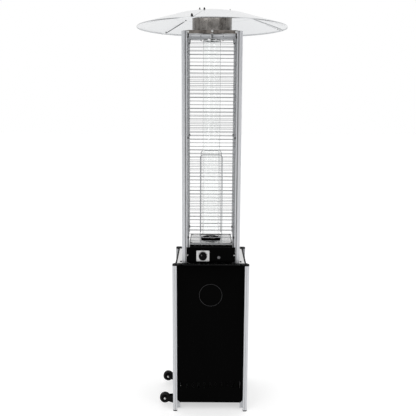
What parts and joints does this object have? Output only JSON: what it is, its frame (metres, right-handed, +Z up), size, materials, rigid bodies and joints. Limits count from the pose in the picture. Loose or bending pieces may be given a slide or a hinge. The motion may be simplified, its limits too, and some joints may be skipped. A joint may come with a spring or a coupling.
{
  "type": "patio heater",
  "caption": "Square-tower gas patio heater: bottle cabinet with door and wheels, caged glass flame tube, dish reflector.",
  "frame": {"origin": "on the tower's axis at floor level", "axes": "+Z up, the door and the control panel face -Y, the wheels are on the -X side"},
  "size_m": [0.83, 0.83, 2.272],
  "materials": {
    "black_gloss_paint": "gloss powder coat",
    "black_steel": "satin black coat",
    "black_plastic": "moulded",
    "wheel_rubber": "solid rubber",
    "anodised_aluminium": "anodised extrusion",
    "stainless_sheet": "polished sheet",
    "brushed_bezel": "brushed",
    "heat_tinted_steel": "heat tinted",
    "reflector_aluminium": "bright sheet",
    "cage_wire": "bright wire",
    "borosilicate_glass": "clear tube",
    "brass_fitting": "machined",
    "cast_valve_body": "die cast",
    "zinc_bolt": "zinc plated",
    "seal_silicone": "heat-proof seal",
    "dark_burner_steel": "heat darkened"
  },
  "bodies": {
    "frame": {"leg_front_left": "anodised_aluminium", "foot_front_left": "black_plastic", "leg_cap_front_left": "black_plastic", "post_front_left": "anodised_aluminium", "leg_front_right": "anodised_aluminium", "foot_front_right": "black_plastic", "leg_cap_front_right": "black_plastic", "post_front_right": "anodised_aluminium", "leg_rear_left": "anodised_aluminium", "foot_rear_left": "black_plastic", "leg_cap_rear_left": "black_plastic", "post_rear_left": "anodised_aluminium", "leg_rear_right": "anodised_aluminium", "foot_rear_right": "black_plastic", "leg_cap_rear_right": "black_plastic", "post_rear_right": "anodised_aluminium", "side_panel_left": "black_gloss_paint", "side_panel_right": "black_gloss_paint", "rear_panel": "black_gloss_paint", "door_hinge_lower": "zinc_bolt", "door_hinge_upper": "zinc_bolt", "door_catch": "black_plastic", "bottle_shelf": "black_steel", "deck_plate": "stainless_sheet", "wheel_fork_front": "black_steel", "wheel_fork_rear": "black_steel", "axle_bolt_front": "zinc_bolt", "axle_bolt_rear": "zinc_bolt", "control_panel": "black_gloss_paint", "control_box": "black_steel", "knob_bezel": "brushed_bezel", "gas_valve": "cast_valve_body", "inlet_spigot": "brass_fitting", "igniter_body": "black_plastic", "gas_pipe": "anodised_aluminium", "burner": "dark_burner_steel", "pilot_assembly": "heat_tinted_steel", "burner_plate": "stainless_sheet", "tilt_switch": "black_plastic", "grille_front": "cage_wire", "grille_right": "cage_wire", "grille_rear": "cage_wire", "grille_left": "cage_wire", "tube_seal": "seal_silicone", "glass_tube": "borosilicate_glass", "tube_holder": "heat_tinted_steel", "crown_plate": "heat_tinted_steel", "flue_collar": "heat_tinted_steel", "reflector_support": "zinc_bolt", "reflector_hub": "reflector_aluminium", "reflector_segment_1": "reflector_aluminium", "reflector_segment_2": "reflector_aluminium", "reflector_segment_3": "reflector_aluminium"},
    "door": {"door_panel": "black_gloss_paint"},
    "wheel_front": {"wheel_front": "wheel_rubber"},
    "wheel_rear": {"wheel_rear": "wheel_rubber"},
    "spindle_slide": {"spindle_collar": "zinc_bolt"},
    "knob": {"control_knob": "black_plastic", "valve_spindle": "zinc_bolt"},
    "igniter": {"igniter_button": "zinc_bolt"}
  },
  "joints": [
    {"name": "door_hinge", "type": "hinge", "parent": "frame", "child": "door", "pos_m": [-0.183, -0.1933, 0.46], "axis": [0, 0, -1], "range_deg": [0, 90]},
    {"name": "wheel_front_spin", "type": "hinge", "parent": "frame", "child": "wheel_front", "pos_m": [-0.266, -0.14, 0.048], "axis": [0, 1, 0], "continuous": true},
    {"name": "wheel_rear_spin", "type": "hinge", "parent": "frame", "child": "wheel_rear", "pos_m": [-0.266, 0.14, 0.048], "axis": [0, 1, 0], "continuous": true},
    {"name": "spindle_push", "type": "slide", "parent": "frame", "child": "spindle_slide", "axis": [0, 1, 0], "range_m": [0, 0.005], "stiffness_N_per_m": 600},
    {"name": "knob_turn", "type": "hinge", "parent": "spindle_slide", "child": "knob", "pos_m": [-0.045, -0.158, 0.9165], "axis": [0, -1, 0], "range_deg": [0, 180]},
    {"name": "igniter_push", "type": "slide", "parent": "frame", "child": "igniter", "axis": [0, 1, 0], "range_m": [0, 0.004], "stiffness_N_per_m": 600}
  ]
}
